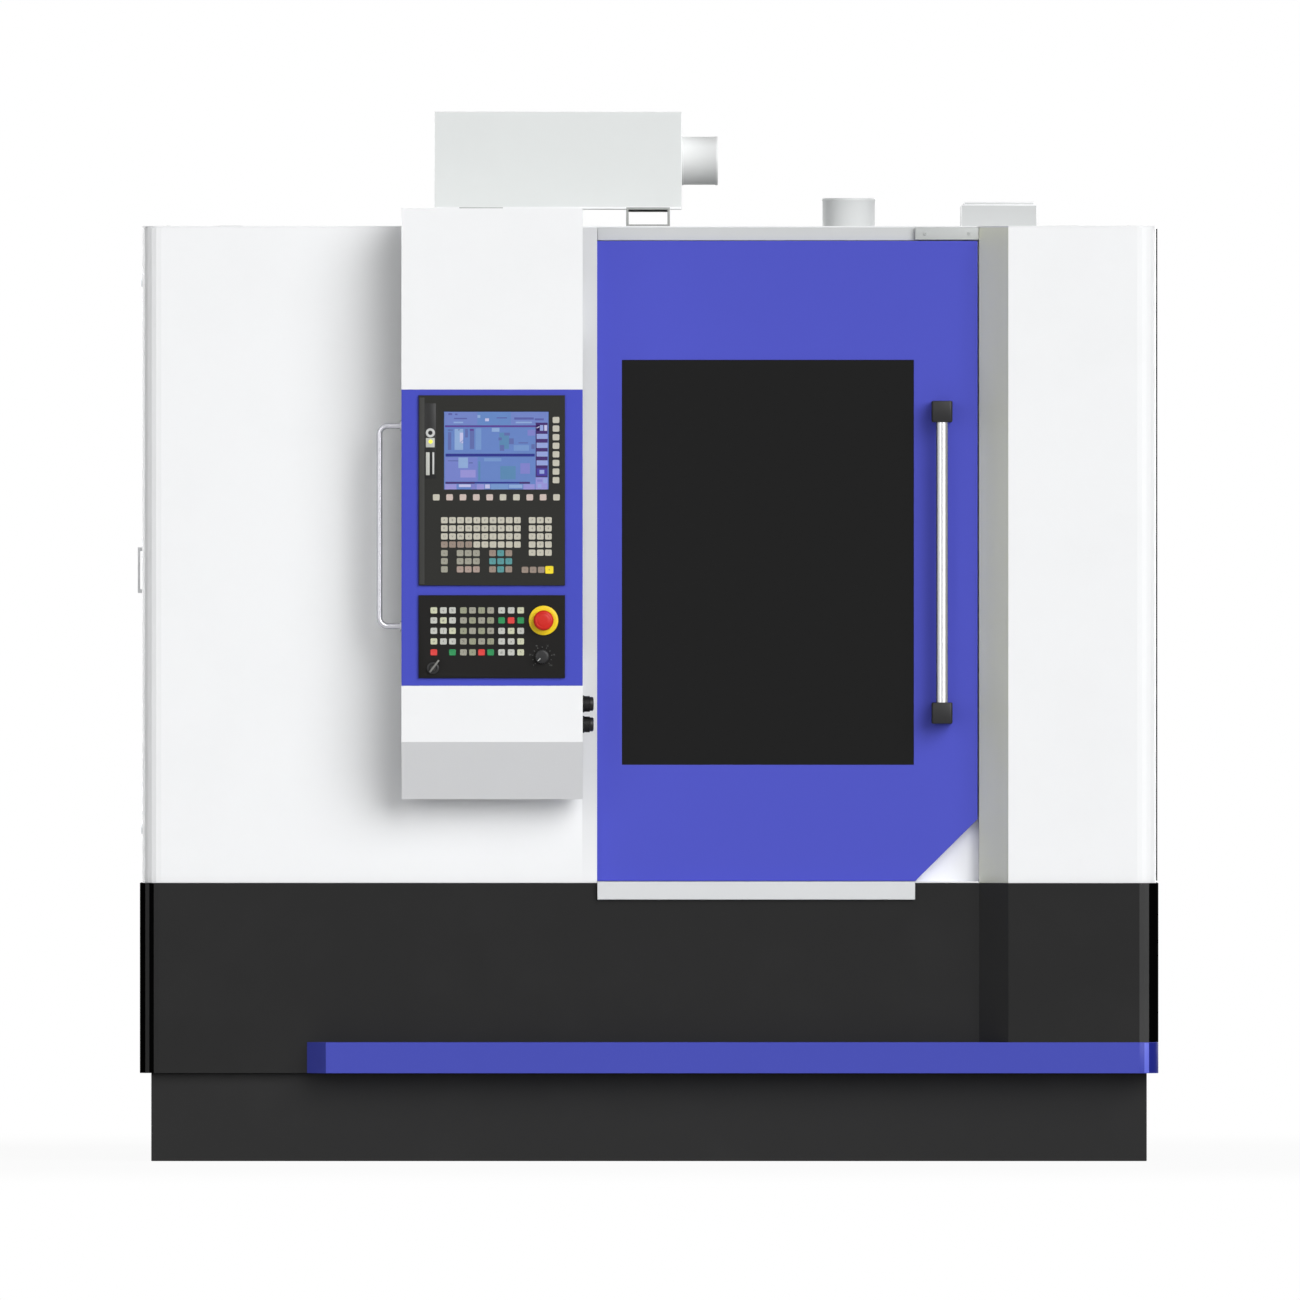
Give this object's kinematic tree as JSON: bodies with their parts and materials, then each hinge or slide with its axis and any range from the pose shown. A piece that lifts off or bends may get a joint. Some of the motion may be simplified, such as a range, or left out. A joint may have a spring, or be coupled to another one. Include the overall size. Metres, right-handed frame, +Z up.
{
  "type": "gear hobbing machine",
  "caption": "Fully enclosed gear hobbing machine with a sliding window door, a swinging operator pendant, a skirt on a plinth and a mist collector on the roof.",
  "frame": {"origin": "on the floor, in the middle of the plinth's footprint", "axes": "+X to the operator's right, +Y away from the operator, +Z up"},
  "size_m": [2.144, 2.385, 2.205],
  "materials": {
    "white_paint": "satin powder coat",
    "blue_paint": "satin powder coat",
    "dark_paint": "fine textured powder coat",
    "grey_paint": "satin powder coat",
    "bare_casting": "machined and oiled",
    "painted_casting": "painted casting",
    "ground_steel": "ground",
    "tool_coating": "nitride coated tool steel",
    "chrome": "polished",
    "zinc_sheet": "zinc coated sheet",
    "window_pane": "dark polycarbonate",
    "screen_glass": "lit display",
    "black_rubber": "matte",
    "black_plastic": "fine matte",
    "bezel_paint": "fine textured paint",
    "key_beige": "matte key cap",
    "key_white": "matte key cap",
    "key_teal": "matte key cap",
    "key_red": "lens",
    "key_green": "lens",
    "stop_red": "gloss",
    "stop_yellow": "gloss"
  },
  "bodies": {
    "machine_frame": {"plinth": "dark_paint", "machine_bed": "bare_casting", "splash_trays": "zinc_sheet", "lower_skirt": "dark_paint", "blue_rail": "blue_paint", "left_cover": "white_paint", "right_cover": "white_paint", "rear_cover": "white_paint", "roof_panel": "white_paint", "door_lintel": "grey_paint", "door_post": "white_paint", "door_sill": "white_paint", "door_top_rail": "ground_steel", "table_housing": "bare_casting", "tail_column": "painted_casting", "feed_motor": "black_plastic", "electric_cabinet": "grey_paint", "drive_units": "grey_paint", "mist_collector": "grey_paint", "collector_runners": "grey_paint", "duct_spigots": "zinc_sheet", "roof_duct": "grey_paint", "chip_conveyor": "dark_paint", "pendant_bracket": "grey_paint"},
    "door": {"door_panel": "blue_paint", "door_window": "window_pane", "window_frame": "black_rubber", "door_handle_tube": "chrome", "door_handle_ends": "black_plastic", "door_carriages": "ground_steel"},
    "pendant": {"pendant_housing": "white_paint", "pendant_panel": "blue_paint", "display_unit": "bezel_paint", "display_screen": "screen_glass", "display_keys": "key_beige", "cursor_keys": "key_teal", "control_unit": "bezel_paint", "control_keys": "key_white", "control_red_keys": "key_red", "control_green_keys": "key_green", "stop_collar": "stop_yellow", "service_plugs": "black_plastic", "grab_handle": "chrome"},
    "stop_button_body": {"stop_button": "stop_red"},
    "override_knob_body": {"override_knob": "black_plastic"},
    "key_switch_body": {"key_switch": "chrome"},
    "column_body": {"column": "painted_casting", "axial_motor": "black_plastic"},
    "axial_slide_body": {"axial_slide": "painted_casting"},
    "hob_head_body": {"hob_head": "painted_casting"},
    "hob_slide_body": {"hob_slide": "painted_casting"},
    "hob_spindle_body": {"hob_arbor": "ground_steel", "hob_cutter": "tool_coating"},
    "work_table_body": {"work_table": "ground_steel"},
    "tail_arm_body": {"tail_arm": "painted_casting"},
    "live_centre_body": {"live_centre": "ground_steel"},
    "axial_screw_body": {"axial_screw": "ground_steel"},
    "radial_screw_body": {"radial_screw": "ground_steel"},
    "cabinet_left_body": {"cabinet_door_left": "white_paint"},
    "cabinet_right_body": {"cabinet_door_right": "white_paint"}
  },
  "joints": [
    {"name": "door_slide", "type": "slide", "parent": "machine_frame", "child": "door", "axis": [-1, 0, 0], "range_m": [0, 0.62]},
    {"name": "pendant_swing", "type": "hinge", "parent": "machine_frame", "child": "pendant", "pos_m": [-0.155, -0.92, 1.2], "axis": [0, 0, 1], "range_deg": [0, 60]},
    {"name": "stop_press", "type": "slide", "parent": "pendant", "child": "stop_button_body", "axis": [0, 1, 0], "range_m": [0, 0.006]},
    {"name": "override_turn", "type": "hinge", "parent": "pendant", "child": "override_knob_body", "pos_m": [-0.224, -1.066, 1.059], "axis": [0, 1, 0], "range_deg": [0, 270]},
    {"name": "key_turn", "type": "hinge", "parent": "pendant", "child": "key_switch_body", "pos_m": [-0.453, -1.066, 1.035], "axis": [0, 1, 0], "range_deg": [0, 90]},
    {"name": "column_feed", "type": "slide", "parent": "machine_frame", "child": "column_body", "axis": [1, 0, 0], "range_m": [-0.07, 0.17]},
    {"name": "radial_screw_spin", "type": "hinge", "parent": "machine_frame", "child": "radial_screw_body", "pos_m": [-0.6, -0.35, 0.54], "axis": [1, 0, 0], "continuous": true},
    {"name": "axial_feed", "type": "slide", "parent": "column_body", "child": "axial_slide_body", "axis": [0, 0, 1], "range_m": [-0.13, 0.18]},
    {"name": "axial_screw_spin", "type": "hinge", "parent": "column_body", "child": "axial_screw_body", "pos_m": [-0.48, -0.35, 1], "axis": [0, 0, 1], "continuous": true},
    {"name": "hob_swivel", "type": "hinge", "parent": "axial_slide_body", "child": "hob_head_body", "pos_m": [-0.3, -0.35, 1.28], "axis": [1, 0, 0], "range_deg": [-45, 45]},
    {"name": "hob_shift", "type": "slide", "parent": "hob_head_body", "child": "hob_slide_body", "axis": [0, 1, 0], "range_m": [-0.06, 0.06]},
    {"name": "hob_spin", "type": "hinge", "parent": "hob_slide_body", "child": "hob_spindle_body", "pos_m": [-0.0851, -0.35, 1.28], "axis": [0, 1, 0], "continuous": true},
    {"name": "table_spin", "type": "hinge", "parent": "machine_frame", "child": "work_table_body", "pos_m": [0.227, -0.35, 0.79], "axis": [0, 0, 1], "continuous": true},
    {"name": "tail_feed", "type": "slide", "parent": "machine_frame", "child": "tail_arm_body", "axis": [0, 0, 1], "range_m": [-0.15, 0.12]},
    {"name": "centre_spin", "type": "hinge", "parent": "tail_arm_body", "child": "live_centre_body", "pos_m": [0.227, -0.35, 1.4], "axis": [0, 0, 1], "continuous": true},
    {"name": "cabinet_left_swing", "type": "hinge", "parent": "machine_frame", "child": "cabinet_left_body", "pos_m": [-1.008, 0.8963, 1.2], "axis": [0, 0, 1], "range_deg": [0, 110]},
    {"name": "cabinet_right_swing", "type": "hinge", "parent": "machine_frame", "child": "cabinet_right_body", "pos_m": [0.168, 0.8963, 1.2], "axis": [0, 0, -1], "range_deg": [0, 110]}
  ],
  "couplings": [
    {"joint": "radial_screw_spin", "follows": "column_feed", "rad_per_m": 628.32},
    {"joint": "axial_screw_spin", "follows": "axial_feed", "rad_per_m": 628.32}
  ]
}
